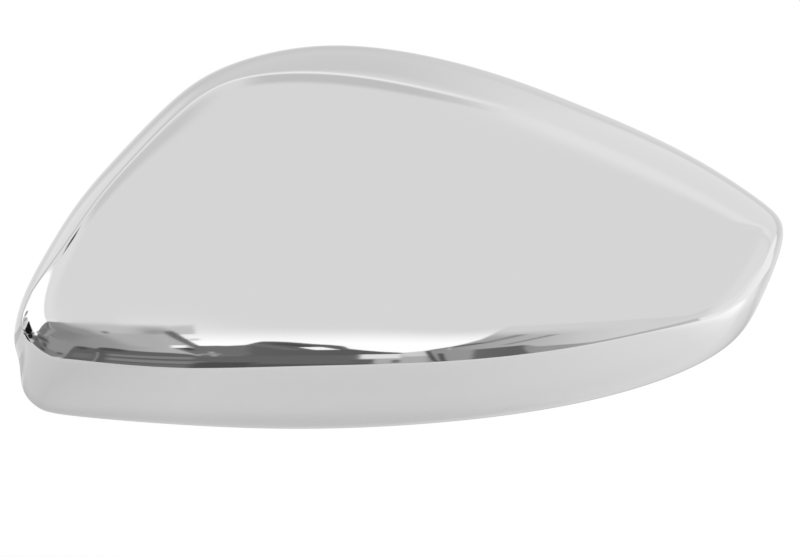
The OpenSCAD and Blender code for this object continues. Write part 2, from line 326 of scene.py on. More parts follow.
def shell(bright, satin):
    """The shell in one mesh, bright outside and satin inside."""
    lines = Sections(np.arange(N_ROUND) * len(STATIONS) / N_ROUND)
    grid, n_outside = shell_lines(lines)
    n = grid.shape[1]
    y = float(crown(*HUB))
    back = WALL * math.hypot(1, float(length(crown_slope(*HUB))))
    hubs = [[HUB[0], y, HUB[1]], [HUB[0], y + back, HUB[1]]]
    points = np.concatenate([hubs, grid.reshape(-1, 3)])
    a = 2 + np.arange(N_ROUND) * n
    b = np.roll(a, -1)
    hub = np.stack([np.zeros_like(a), a, b], -1).tolist()
    hub += np.stack([np.ones_like(a), b + n - 1, a + n - 1], -1).tolist()
    piece = add_mesh("shell", points, hub + ring_faces(N_ROUND, n, 2), bright)
    piece.data.materials.append(satin)
    slots = np.zeros((N_ROUND, n - 1), int)
    slots[:, n_outside:] = 1
    slots = np.concatenate([np.repeat([0, 1], N_ROUND), slots.reshape(-1)])
    piece.data.polygons.foreach_set("material_index", slots)
    return piece


# ---- Forms inside, in millimetres ----
CLIP_SOFT, WEB_SOFT, FIN_SOFT = 0.3, 0.25, 0.25  # roundings of their edges
SHARP_EDGE = math.radians(30)
CLIP_IN_WALL, WEB_IN_WALL = 0.7, 0.6  # shares of the wall that their roots go into
BARB_END, BARB_LOW, BARB_HIGH = 4.2, 3.4, 2.8  # below the tongue's tip
LEAD_IN = 0.6  # share of the tongue's thickness at its tip
WEB_STEP = 1.0
# Half widths and heights of a rib over the inner skin: its fillet, its leaning side, its top
RIB_SIDE = [
    (1.5, -0.4),
    (1.35, 0.02),
    (1.0, 0.18),
    (0.8, 0.5),
    (RIB_T / 2, RIB_H * 0.85),
    (RIB_T / 2 * 0.8, RIB_H * 0.96),
    (RIB_T / 2 * 0.4, RIB_H),
]
RIB_PROFILE = RIB_SIDE + [(-w, h) for w, h in RIB_SIDE[::-1]]
RIB_MAIN, RIB_TURN, RIB_BAND, RIB_RISE = 40, 10, 20, 6  # steps along a rib
RIB_START_H = 0.02
RIB_LAP = 2.0  # how far a rib starts inside the boss's fins
SEAT_EDGE, PIN_FOOT = 0.3, 0.02
TIP_LEAN, TIP_EDGE = 0.6, 0.1
PIN_SHARP = math.radians(25)
FIN_TOE = 1.5
N_FINS, N_TURN = 4, 96


def prism(outline, width):
    """Points and faces of a flat outline drawn out to both sides of its plane."""
    n = len(outline)
    flat = np.asarray(outline, float)
    points = [(x, y, side * width / 2) for side in (-1, 1) for x, y in flat]
    faces = [list(range(n))[::-1], list(range(n, 2 * n))]
    faces += [[i, (i + 1) % n, n + (i + 1) % n, n + i] for i in range(n)]
    return np.array(points), faces


def soften(piece, radius):
    """Rounds the edges as a mould does."""
    bevel = piece.modifiers.new("rounded", "BEVEL")
    bevel.width = radius / 1000
    bevel.segments = 2
    bevel.limit_method = "ANGLE"
    bevel.angle_limit = SHARP_EDGE
    weighted = piece.modifiers.new("shading", "WEIGHTED_NORMAL")
    weighted.keep_sharp = True


def on_rim(lines, outline, width, shift=0):
    """A prism with x inward from the rim's outer edge and y from the rim plane."""
    points, faces = prism(outline, width)
    inward = -lines.out_rim[0]
    start = lines.rim(0)[0]
    x_way = np.array([inward[0], 0, inward[1]])
    z_way = np.array([-inward[1], 0, inward[0]])
    placed = start + points[:, :1] * x_way + (points[:, 2:] + shift) * z_way
    placed[:, 1] = start[1] + points[:, 1]
    return placed, faces


def inward_at(lines, depth, d):
    """How far inward from the rim's edge the band lies, depth below the rim and d under the skin."""
    p = lines.band(lines.band_share(depth, d), d)[0, 0]
    return float((p[[0, 2]] - lines.rim2[0]) @ -lines.out_rim[0])


def band_depth(lines):
    """Depth from the fold to the rim."""
    return float(lines.rim(0)[0, 1] - lines.face(np.ones(1), 0)[0, 0, 1])


def tongue(name, at, width, thick, tip, material):
    """A tongue that rises from the skin or a short shelf, with its barb turned inward."""
    lines = Sections(at)
    top = CLIP_ROOT * band_depth(lines)
    low = top + thick
    u = inward_at(lines, tip, WALL) + CLIP_GAP
    outline = [
        (inward_at(lines, low, WALL * CLIP_IN_WALL), -low),
        (u + thick, -low),
        (u + thick, -(tip + BARB_END)),
        (u + thick + BARB, -(tip + BARB_LOW)),
        (u + thick + BARB, -(tip + BARB_HIGH)),
        (u + thick * LEAD_IN, -tip),
        (u, -tip),
        (u, -top),
        (inward_at(lines, top, WALL * CLIP_IN_WALL), -top),
    ]
    points, faces = on_rim(lines, outline, width)
    piece = add_mesh(name, points, faces, material, smooth=False)
    soften(piece, CLIP_SOFT)


def webs(name, at, width, thick, tip, material):
    """Two webs that brace the shelf of a rigid hook."""
    lines = Sections(at)
    low = CLIP_ROOT * band_depth(lines) + thick
    foot = low + WEB_DROP * band_depth(lines)
    edge = inward_at(lines, tip, WALL) + CLIP_GAP + thick - WEB_INSET
    outline = [
        (inward_at(lines, low - thick / 2, WALL * WEB_IN_WALL), -low + thick / 2),
        (edge, -low + thick / 2),
        (edge, -low - WEB_STEP),
        (inward_at(lines, foot, WALL * WEB_IN_WALL), -foot),
    ]
    for side, word in ((-1, "a"), (1, "b")):
        points, faces = on_rim(lines, outline, WEB_T, side * ((width - WEB_T) / 2 - WEB_INSET))
        web = add_mesh(f"{name}_web_{word}", points, faces, material, smooth=False)
        soften(web, WEB_SOFT)


def rib(name, at, thick, material):
    """A rib along a section line, from the boss over the fold to a clip's shelf: its sides lean
    by a draft angle, its foot runs out in a small fillet and its top is rounded."""
    lines = Sections(at)
    start = (FIN_REACH - RIB_LAP) / lines.spoke_len[0]
    last = CLIP_ROOT * band_depth(lines) + thick / 2
    side = np.array([-lines.out[0, 1], 0, lines.out[0, 0]])
    rise = np.clip(np.arange(RIB_MAIN) / RIB_RISE, 0, 1)
    rows = []
    for w, h in RIB_PROFILE:
        d = WALL + h
        end, begin = lines.face_end(d)[0], lines.band_start(d)[0]
        rising = WALL + np.minimum(h, h * rise + RIB_START_H * (1 - rise))
        depths = np.where(rise < 1, rising, d)
        row = [lines.face([r], k)[0] for r, k in zip(np.linspace(start, end, RIB_MAIN), depths)]
        row.append(lines.edge_line(d, RIB_TURN)[0])
        shares = np.linspace(begin, lines.band_share(last, d)[0], RIB_BAND)
        row.append(lines.band(shares[None], d)[0])
        rows.append(np.concatenate(row) + w * side)
    grid = np.stack(rows, 1)
    n_row, n = grid.shape[:2]
    rings = np.arange(n_row - 1) * n
    a = (rings[:, None] + np.arange(n - 1)).reshape(-1)
    faces = np.stack([a, a + 1, a + n + 1, a + n], -1).tolist()
    faces += [list(range(n)), list(range((n_row - 1) * n, n_row * n))[::-1]]
    # the underside, which lies in the wall
    faces += np.stack([rings, rings + n, rings + 2 * n - 1, rings + n - 1], -1).tolist()
    add_mesh(name, grid.reshape(-1, 3), faces, material)


def turned(name, at, profile, material):
    """A round form about an axis along +Y, from radii and depths."""
    n = N_TURN
    turn = np.arange(n) * 2 * np.pi / n
    points = [
        [at[0] + r * math.cos(a), y, at[1] + r * math.sin(a)] for r, y in profile for a in turn
    ]
    faces = []
    for j in range(len(profile) - 1):
        for i in range(n):
            a, b = j * n + i, j * n + (i + 1) % n
            faces.append([a, b, b + n, a + n])
    faces.append(list(range(n))[::-1])
    faces.append(list(range((len(profile) - 1) * n, len(profile) * n)))
    return add_mesh(name, points, faces, material)


def middle(x, z):
    """Depth of the middle of the wall behind the face."""
    return float(crown(x, z)) + WALL / 2 * math.hypot(1, float(length(crown_slope(x, z))))


def locating_pin(name, at, r, material):
    """A pin on its round seat, on a boss with fins."""
    tip = SEAT_Y + PIN_LEN
    under = SEAT_Y - SEAT_T
    profile = [
        (CORE_R, middle(*at)),
        (CORE_R, under),
        (BOSS_R - SEAT_EDGE, under),
        (BOSS_R, under + SEAT_EDGE),
        (BOSS_R, SEAT_Y - SEAT_EDGE),
        (BOSS_R - SEAT_EDGE, SEAT_Y),
        (r + PIN_FOOT, SEAT_Y),
        (r, SEAT_Y + PIN_FOOT),
        (r, tip - PIN_TIP),
        (r - PIN_TIP * TIP_LEAN, tip - TIP_EDGE),
        (r - PIN_TIP * TIP_LEAN - TIP_EDGE, tip),
    ]
    pin = turned(name, at, profile, material)
    soft = pin.modifiers.new("shading", "EDGE_SPLIT")
    soft.split_angle = PIN_SHARP
    for i in range(N_FINS):
        turn = i * 2 * math.pi / N_FINS
        way = np.array([math.cos(turn), math.sin(turn)])
        foot = at + FIN_REACH * way
        outline = [
            (0, middle(*at)),
            (FIN_REACH, middle(*foot)),
            (FIN_REACH, middle(*foot) + WALL / 2 + FIN_TOE),
            (BOSS_R - SEAT_EDGE, SEAT_Y - SEAT_T / 2),
            (0, SEAT_Y - SEAT_T / 2),
        ]
        points, faces = prism(outline, FIN_T)
        placed = np.zeros_like(points)
        placed[:, 0] = at[0] + points[:, 0] * way[0] - points[:, 2] * way[1]
        placed[:, 1] = points[:, 1]
        placed[:, 2] = at[1] + points[:, 0] * way[1] + points[:, 2] * way[0]
        fin = add_mesh(f"{name}_fin_{i + 1}", placed, faces, material, smooth=False)
        soften(fin, FIN_SOFT)


# ---- Finishes ----
def colour(code):
    """Linear colour of an sRGB hex code."""
    parts = [int(code[i : i + 2], 16) / 255 for i in (1, 3, 5)]
    return [c / 12.92 if c <= 0.04045 else ((c + 0.055) / 1.055) ** 2.4 for c in parts] + [1.0]


def add_node(tree, kind, settings=None, inputs=None):
    """Adds a node with its settings; an input takes a value or another node's output."""
    node = tree.nodes.new(kind)
    for key, value in (settings or {}).items():
        setattr(node, key, value)
    for key, value in (inputs or {}).items():
        if isinstance(value, bpy.types.NodeSocket):
            tree.links.new(value, node.inputs[key])
        else:
            node.inputs[key].default_value = value
    return node


def new_material(name):
    material = bpy.data.materials.new(name)
    material.use_nodes = True
    material.node_tree.nodes.clear()
    return material, material.node_tree


def chrome(name, code, roughness, noise, bump):
    """Chromium over nickel and copper on moulded ABS, with the unevenness of the plastic."""
    material, tree = new_material(name)
    place = add_node(tree, "ShaderNodeTexCoord")
    noise = {"Vector": place.outputs["Object"], **noise}
    relief = add_node(tree, "ShaderNodeTexNoise", inputs=noise)
    bump = {"Height": relief.outputs["Fac"], **bump}
    normal = add_node(tree, "ShaderNodeBump", inputs=bump)
    plating = {"Base Color": colour(code), "Metallic": 1.0, "Roughness": roughness}
    plating["Normal"] = normal.outputs["Normal"]
    shader = add_node(tree, "ShaderNodeBsdfPrincipled", inputs=plating)
    add_node(tree, "ShaderNodeOutputMaterial", inputs={"Surface": shader.outputs["BSDF"]})
    return material


def bright_chrome():
    """Bright chromium plating on the outside: a mirror, with faint marks about 35 mm across
    where the moulded plastic under it shrank unevenly as it cooled."""
    mark_width, mark_depth = 0.035, 0.00002
    marks = {"Scale": 1 / mark_width, "Detail": 1.0}
    bump = {"Strength": 1.0, "Distance": mark_depth}
    return chrome("bright_chrome_plating", "#D5D5D5", 0.04, marks, bump)


def satin_chrome():
    """The same plating on the inside, which the spark-eroded mould left rough: a dull, grey
    sheen. The craters are drawn 0.5 mm across, coarser than real ones, so that they show."""
    crater_width, crater_depth = 0.0005, 0.00003
    craters = {"Scale": 1 / crater_width, "Detail": 2.0}
    bump = {"Strength": 0.5, "Distance": crater_depth}
    return chrome("satin_chrome_plating", "#CACACA", 0.3, craters, bump)


bright, satin = bright_chrome(), satin_chrome()
cover = shell(bright, satin)
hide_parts("cover")
for word, at in zip(("left", "mid", "right"), HOOKS_AT):
    tongue(f"hook_{word}", at, HOOK_W, HOOK_T, HOOK_TIP, satin)
    webs(f"hook_{word}", at, HOOK_W, HOOK_T, HOOK_TIP, satin)
    rib(f"rib_to_hook_{word}", at, HOOK_T, satin)
for word, at in zip(("right", "mid", "left"), SNAPS_AT):
    tongue(f"snap_finger_{word}", at, SNAP_W, SNAP_T, SNAP_TIP, satin)
    rib(f"rib_to_snap_{word}", at, SNAP_T, satin)
locating_pin("main_pin", HUB, PIN_R, satin)
locating_pin("second_pin", HUB + PIN2_OFFSET, PIN2_R, satin)


# ---- Photo table, room and camera, in metres ----
RANGE, MATHS = "ShaderNodeMapRange", "ShaderNodeMath"
TABLE_DROP = 0.05  # from the cover's lowest edge
TABLE_SIDE, TABLE_FRONT, TABLE_BACK = 0.5, -0.12, 1.5
CARD_LEFT, CARD_RIGHT, CARD_FRONT, CARD_BACK, CARD_T = -0.49, -0.38, -0.1, 0.055, 0.0005
# How the board's brightness runs, from a place on it to another. Its colour across, darker to the left
# as painted shade:
PAINTED_SHADE_LEFT = {"From Min": -0.14, "From Max": -0.06, "To Min": 0.68, "To Max": 0.85}
# into plain white outward, for the camera and in the plating:
FADE = {"From Min": 0.16, "From Max": 0.45}
# painted light on its right end, an emission of the board: across, in a pool near POOL_Y, and along
# beside the cover:
RIGHT_END = {"From Min": 0.03, "From Max": 0.16, "To Max": 0.07}
POOL_Y = -0.03
POOL_ALONG = {"From Min": 0.11, "From Max": 0.03, "To Max": 0.25}
POOL_ACROSS = {"From Min": 0.155, "From Max": 0.23}
BESIDE_ALONG = {"From Min": 0.28, "From Max": 0.17, "To Max": 0.13}
BESIDE_ACROSS = {"From Min": 0.22, "From Max": 0.36}
# how much dimmer its far end is in the plating than the camera's white backdrop, as painted shade:
DIM_ACROSS = {"From Min": 0.35, "From Max": 0.2, "To Min": 0.17, "To Max": 0.43}
DIM_ALONG = {"From Min": 0.06, "From Max": 0.33}


def level_sheet(name, left, right, front, back, z, material):
    """A flat rectangle that lies level."""
    mesh = bpy.data.meshes.new(name)
    corners = [(left, front, z), (right, front, z), (right, back, z), (left, back, z)]
    mesh.from_pydata(corners, [], [[0, 1, 2, 3]])
    sheet = bpy.data.objects.new(name, mesh)
    bpy.context.scene.collection.objects.link(sheet)
    sheet.data.materials.append(material)
    return sheet


def white_board():
    """Matt white board with painted shade on its left end and painted light on its right, which fades
    into plain white.
    """
    material, tree = new_material("white_board")
    place = add_node(tree, "ShaderNodeTexCoord").outputs["Object"]
    x, y, _ = add_node(tree, "ShaderNodeSeparateXYZ", inputs={0: place}).outputs
    path = add_node(tree, "ShaderNodeLightPath")
    mirrored = path.outputs["Is Glossy Ray"]

    # its colour, darker to the left as painted shade, which fades into plain white
    own = add_node(tree, RANGE, inputs={"Value": x, **PAINTED_SHADE_LEFT})
    board = add_node(tree, "ShaderNodeBsdfDiffuse", inputs={"Color": own.outputs["Result"]})
    plain = {"Color": (1, 1, 1, 1), "Strength": 1.0}
    white = add_node(tree, "ShaderNodeEmission", inputs=plain)
    off = add_node(tree, "ShaderNodeVectorMath", {"operation": "LENGTH"}, {0: place})
    fade = add_node(tree, RANGE, inputs={"Value": off.outputs["Value"], **FADE})
    rays = {0: path.outputs["Is Camera Ray"], 1: mirrored}
    direct = add_node(tree, MATHS, {"operation": "MAXIMUM"}, rays)
    parts = {0: direct.outputs["Value"], 1: fade.outputs["Result"]}
    faded = add_node(tree, MATHS, {"operation": "MULTIPLY"}, parts)
    parts = {0: faded.outputs["Value"], 1: board.outputs["BSDF"], 2: white.outputs["Emission"]}
    surface = add_node(tree, "ShaderNodeMixShader", inputs=parts)

    # painted light on it: the board glows on its right end, though no lamp is there
    end = add_node(tree, RANGE, inputs={"Value": x, **RIGHT_END})
    from_pool = add_node(tree, MATHS, {"operation": "SUBTRACT"}, {0: y, 1: POOL_Y})
    from_pool = add_node(tree, MATHS, {"operation": "ABSOLUTE"}, {0: from_pool.outputs["Value"]})
    along = add_node(tree, RANGE, inputs={"Value": from_pool.outputs["Value"], **POOL_ALONG})
    across = {"Value": x, "To Max": along.outputs["Result"], **POOL_ACROSS}
    pool = add_node(tree, RANGE, inputs=across)
    along = add_node(tree, RANGE, inputs={"Value": y, **BESIDE_ALONG})
    across = {"Value": x, "To Max": along.outputs["Result"], **BESIDE_ACROSS}
    beside = add_node(tree, RANGE, inputs=across)
    parts = {0: end.outputs["Result"], 1: beside.outputs["Result"]}
    light = add_node(tree, MATHS, {"operation": "ADD"}, parts)
    parts = {0: light.outputs["Value"], 1: pool.outputs["Result"]}
    light = add_node(tree, MATHS, {"operation": "ADD"}, parts)
    # painted light: an emission of the board itself
    painted_glow = add_node(tree, "ShaderNodeEmission", inputs={"Strength": light.outputs["Value"]})
    parts = {0: surface.outputs["Shader"], 1: painted_glow.outputs["Emission"]}
    lit = add_node(tree, "ShaderNodeAddShader", inputs=parts)

    # painted shade on its far end, in the plating alone
    aside = add_node(tree, MATHS, {"operation": "ABSOLUTE"}, {0: x})
    most = add_node(tree, RANGE, inputs={"Value": aside.outputs["Value"], **DIM_ACROSS})
    far = {"Value": y, "To Max": most.outputs["Result"], **DIM_ALONG}
    far = add_node(tree, RANGE, inputs=far)
    parts = {0: far.outputs["Result"], 1: mirrored}
    dim = add_node(tree, MATHS, {"operation": "MULTIPLY"}, parts)
    parts = {0: dim.outputs["Value"], 1: lit.outputs["Shader"]}
    shown = add_node(tree, "ShaderNodeMixShader", inputs=parts)
    add_node(tree, "ShaderNodeOutputMaterial", inputs={"Surface": shown.outputs["Shader"]})
    return material


def black_paper():
    """Matt black card, which gives almost nothing back."""
    material, tree = new_material("black_card")
    paper = add_node(tree, "ShaderNodeBsdfDiffuse", inputs={"Color": colour("#0C0C0C")})
    add_node(tree, "ShaderNodeOutputMaterial", inputs={"Surface": paper.outputs["BSDF"]})
    return material


def photo_table():
    """White board under the cover, which ends just in front of it."""
    z = -ORIGIN[2] / 1000 - TABLE_DROP
    board = white_board()
    sides = (-TABLE_SIDE, TABLE_SIDE, TABLE_FRONT, TABLE_BACK)
    table = level_sheet("photo_table", *sides, z, board)


def black_card():
    """Card lying on the board left of the picture, which darkens the fold at that end."""
    z = -ORIGIN[2] / 1000 - TABLE_DROP + CARD_T
    paper = black_paper()
    card = level_sheet("black_card", CARD_LEFT, CARD_RIGHT, CARD_FRONT, CARD_BACK, z, paper)
    card.visible_camera = False
    card.visible_shadow = False


# ---- The room that the plating mirrors, by direction in degrees ----
# Yaw runs to the right and pitch upward, both 0 towards the viewer. The room's brightness by
# pitch, where nothing stands:
AIR = [
    (-180, 0.62), (-175, 0.66), (-169, 0.84), (-145, 0.9), (-40, 0.9), (-30, 0.85), (8, 0.95),
    (17, 1), (62, 1), (70, 1), (83, 1.02), (89, 1.1), (92.5, 1.3), (97, 1.12), (103, 0.95),
    (108, 0.87), (140, 0.86), (148, 0.81), (154, 0.75), (161, 0.71), (166, 0.74), (171, 0.8),
    (180, 0.85),
]
# the top of the glow of a low window behind what stands there, by yaw, and its brightness
GLOW_TOP = [
    (-30, 16.2), (-21, 15.2), (-15, 12.8), (-10, 10.8), (-5, 9.2), (0, 8.6), (8, 7), (12, 6.9),
    (15, 8.2),
]
GLOW_SOFT, GLOW = 7.5, 1.5
HALO_RISE, HALO_SOFT, HALO = 4.5, 5.0, 1.12
# the pitch of the skyline of what stands across the room, by yaw, left and right of SKY_SPLIT
SKYLINE_LEFT = [
    (-90, -60), (-76, -36), (-72, -26.5), (-68, -21.5), (-66, -18.5), (-64.5, -16.3),
    (-62.9, -14.6), (-60.3, -12), (-59.2, -11), (-58, -8.5), (-55.6, -5.4), (-54.3, -1),
    (-53, 4), (-51.3, 10), (-48.8, 15), (-46.5, 18), (-43.8, 19.2), (-39.3, 19.9),
    (-36.4, 21.4), (-34.7, 22.3), (-32.5, 21.8), (-29.8, 21.1), (-26.4, 20.5), (-24.4, 20.2),
    (-23.4, 17.5), (-22.4, 12), (-21.5, 6.5), (-21, 4.5),
]
SKYLINE_RIGHT = [
    (-22, 5), (-20.5, 4.6), (-19, 4.6), (-17.5, 3.9), (-15.2, 4.3), (-14, 6.8), (-13.2, 7.8),
    (-11.8, 7.2), (-10, 6), (-8, 4), (-7, 2.9), (-5, 1.4), (-4, 0.4), (-3.3, -0.8), (-3, -3.3),
    (-1, -5.8), (1, -7.8), (3, -9.2), (3.4, -9.6), (6.1, -7.8), (6.5, -7), (8, -5),
    (9.5, -3.3), (11, -0.5), (13, 4), (14, 8), (15, 13), (16, 16), (44, 16), (50, -50),
]
SKY_SPLIT = -21.2
# how bright that is by yaw, above and below the counter line
ABOVE = [
    (-90, 0.3), (-72, 0.4), (-66, 0.3), (-63.5, 0.2), (-60, 0.2), (-56, 0.25), (-53, 0.31),
    (-50, 0.3), (-46, 0.33), (-43, 0.38), (-38, 0.4), (-32, 0.45), (-28, 0.58), (-25, 0.65),
    (-21, 0.6), (-20.5, 0.24), (-15.5, 0.24), (-14, 0.17), (-3, 0.15), (3.4, 0.13), (6.2, 0.3),
    (9, 0.42), (12, 0.5), (15, 0.57), (18, 0.62), (22, 0.72), (26, 0.85), (31, 0.93),
    (45, 0.97), (90, 0.97),
]
BELOW = [
    (-44.5, 0.2), (-42, 0.17), (-36, 0.17), (-34.5, 0.14), (-33.5, 0.17), (-22, 0.18),
    (-19, 0.185), (-1.8, 0.19), (-1.4, 0.6), (6.4, 0.6), (6.9, 0.42), (12.4, 0.45),
    (12.9, 0.2), (19, 0.17), (19.6, 0.4), (22, 0.45), (24, 0.45), (30, 0.56), (45, 0.75),
    (60, 0.95),
]
COUNTER = [
    (-47, -60), (-44.2, -26), (-43.4, -14), (-42.6, -9.5), (-41.6, -5.5), (-40, -3.2),
    (-38, -3.2), (-36.5, -4.2), (-35.3, -5.5), (-34.9, -3), (-34, -1.8), (-32.5, -2),
    (-31, -4), (-28, -5.6), (-25, -6.2), (-22.5, -8), (-20.5, -12), (-2.2, -12), (-1.9, -10.8),
    (3.2, -11.3), (3.5, -9), (6.2, -12), (6.7, -8.5), (12.4, -8.5), (12.9, -8.5), (15, -7.6),
    (18.8, -5.8), (19.6, -6), (21, -9), (45, -9),
]
FLOOR_PITCH = -38
# Panels of light and shade: yaw from and to, pitch from and to, how far the yaw leans for each
# degree of pitch, softness, brightness. First those in the air, then those on what stands there.
AIR_PANELS = [
    (-46, -38.5, 20, 22.6, 0, 0.8, 1.15),
    (-24.3, -21.4, 17, 20.3, 0, 0.3, 0.78),
    (-22.3, -21, 11.3, 13.3, 0, 0.4, 0.9),
    (-12, 14, 73, 87, 0, 3.0, 0.78),
    (-45, -20, 62, 78, 0, 5.0, 0.85),
    (-50, -41, 22, 75, -0.16, 3.0, 1.08),
    (-90, -74.5, 30, 80, 0, 1.5, 0.75),
    (-90, -72.5, -60, 1, 0, 2.5, 0.28),
    (-72, -50.5, -14, 118, -0.16, 1.2, 1.6),
    (-72, -62.5, 88, 108, 0, 1.5, 0.9),
    (-73.5, -69.3, 56, 68, -0.2, 0.8, 0.42),
    (-76, -71.5, 42, 54, -0.3, 0.8, 0.5),
    (-60, -20, 145, 172, 0, 5.0, 1.0),
    (-70, -46, 120, 150, 0, 3.0, 0.7),
    (-50.2, -47.5, 68.5, 76, 0, 0.6, 0.12),
    (46, 90, 8, 50, 0, 7.0, 1.06),
    (48, 88, -110, 10, 0, 7.0, 1.12),
    (45, 88, -110, -18, 0, 7.0, 1.22),
    (40, 95, 120, 200, 0, 9.0, 1.25),
    (40, 95, -200, -105, 0, 9.0, 1.25),
    (12, 75, 62, 150, 0, 8.0, 1.06),
    (5, 60, 147, 200, 0, 5.0, 0.86),
    (12, 60, -200, -168, 0, 4.0, 0.9),
    (16, 70, 68, 88, 0, 7.0, 1.12),
]
THING_PANELS = [
    # left wall
    (-44, -38, 2, 14, 0.5, 2.5, 0.33),
    (-51.8, -43, -21, -2, 0.24, 0.8, 0.4),
    (-46.2, -44.6, 5, 18, 0.13, 0.5, 0.22),
    (-51.2, -49.4, -5, 5.5, 0.71, 0.6, 0.24),
    (-44.4, -43.1, 7, 18, 0.1, 0.5, 0.47),
    (-49.6, -48, -6, 6.5, 0.6, 0.6, 0.45),
    (-49.5, -46.5, -24, -20, 0, 1.0, 0.16),
    (-61.5, -59.5, -19, -14, 0, 0.7, 0.15),
    (-58.5, -56.5, -19, -14, 0.1, 0.7, 0.33),
    (-56, -54, -22, -16, 0.2, 0.6, 0.15),
    (-58.5, -56, -28, -25, 0, 0.7, 0.12),
    (-58.5, -52, -14, -9, 0, 1.5, 0.14),
    (-70, -64.5, -34, -21.5, 0.25, 1.0, 0.75),
    (-66, -57, -44, -30, 0, 1.5, 0.25),
    (-56.5, -46, -50, -30.5, 0, 1.5, 0.82),
    # middle of the wall
    (-37.3, -28, 20, 28, 0, 2.2, 0.72),
    (-33, -28, 17, 28, 0, 1.6, 0.74),
    (-27.2, -25, 17.6, 19.8, 0, 0.8, 0.47),
    (-31, -26, 3, 18, -0.2, 1.5, 0.62),
    (-32.2, -31.4, 17.8, 19.4, 0, 0.3, 0.28),
    (-23.3, -21.7, 1, 19, -0.19, 0.35, 0.2),
    (-24.6, -22.7, 1.6, 5.6, 0, 0.35, 1.4),
    # what stands right of it
    (-22.9, -15.5, -9, 2, -0.28, 0.35, 0.23),
    (-19.5, -18.7, -12, -4, -0.1, 0.25, 0.5),
    (-12.6, -10.6, -4, 5, -0.6, 0.7, 0.22),
    (-10.4, -8.2, 0, 5, -0.9, 0.5, 0.1),
    (-7.5, -4.9, -4.5, -0.8, -0.55, 0.2, 1.4),
    (13, 48, 9, 30, 0, 4.0, 0.93),
    (10.5, 12.2, -4.8, 0.6, 1.0, 0.4, 0.14),
    (15.2, 16.7, 0, 8, 0.56, 0.6, 0.36),
    (18.8, 20, -4, 6, 0.58, 0.5, 0.38),
    (9.1, 9.5, -8, -4.2, 0, 0.15, 0.62),
    # the counter's front
    (-40, -37.5, -9, -4.5, 0, 0.7, 0.11),
    (-34.5, -31, -8, -3, 0, 0.8, 0.11),
    (-42, -36, -28, -17, 0, 1.5, 0.22),
    (-35.5, -35.05, -35, -12, 0, 0.15, 0.34),
    (-33.5, -21.5, -17.8, -13.3, 0, 0.8, 0.31),
    (-33.5, -19.5, -27, -21.5, 0, 0.9, 0.32),
    (-33.2, -21, -35, -29.8, 0, 0.9, 0.22),
    (-21, -18, -9.2, -7.2, 0, 0.3, 0.42),
    (-21, -13, -36, -23, 0, 1.2, 0.11),
    (-13, 0.3, -36, -25.5, 0, 1.0, 0.13),
    (-23, -22, -1.8, 2.2, -0.28, 0.25, 0.08),
    (-2.5, 0.1, -26, -18, 0, 0.3, 0.17),
    (-1.5, 3.2, -17, -11, 0, 0.35, 1.1),
    (3.3, 6.5, -15, -5, 0, 0.5, 0.88),
    (2.2, 3.2, -25, -19.5, 0, 0.3, 0.22),
    (18.6, 20.2, -30, -11, -0.1, 0.3, 0.18),
    (7.2, 7.9, -36, -8, -0.08, 0.15, 0.1),
    (8.4, 9.2, -36, -12, -0.05, 0.15, 0.12),
]
# the black flag left of the tall soft box: the yaws of its edges by pitch
FLAG_LEFT = [
    (-34, -70), (-26, -71.5), (-20, -72.8), (-15, -74), (-10, -75.3), (0, -76.2), (10, -75.3),
    (20, -73.5), (25, -72.5), (31, -70), (33, -68),
]
FLAG_RIGHT = [
    (-34, -74), (-26, -70.8), (-24, -68.2), (-22, -66.6), (-19.2, -64.9), (-14, -63.6),
    (-8, -63.3), (0, -64.6), (5, -65.3), (12, -66), (20, -67), (28, -67.5), (31, -69),
    (33, -71),
]


# the yaws between which the low window glows
GLOW_FROM, GLOW_TO = -30, 16
# soft edges, in degrees: the window's and the floor's, then those of what stands in the room
END_SOFT, FLOOR_SOFT = 1.5, 4
SKYLINE_SOFT, COUNTER_SOFT, SPLIT_SOFT = 0.5, 0.5, 0.05
FLAG_LEFT_SOFT, FLAG_RIGHT_SOFT, FLAG_GREY = 1.0, 0.7, 0.01


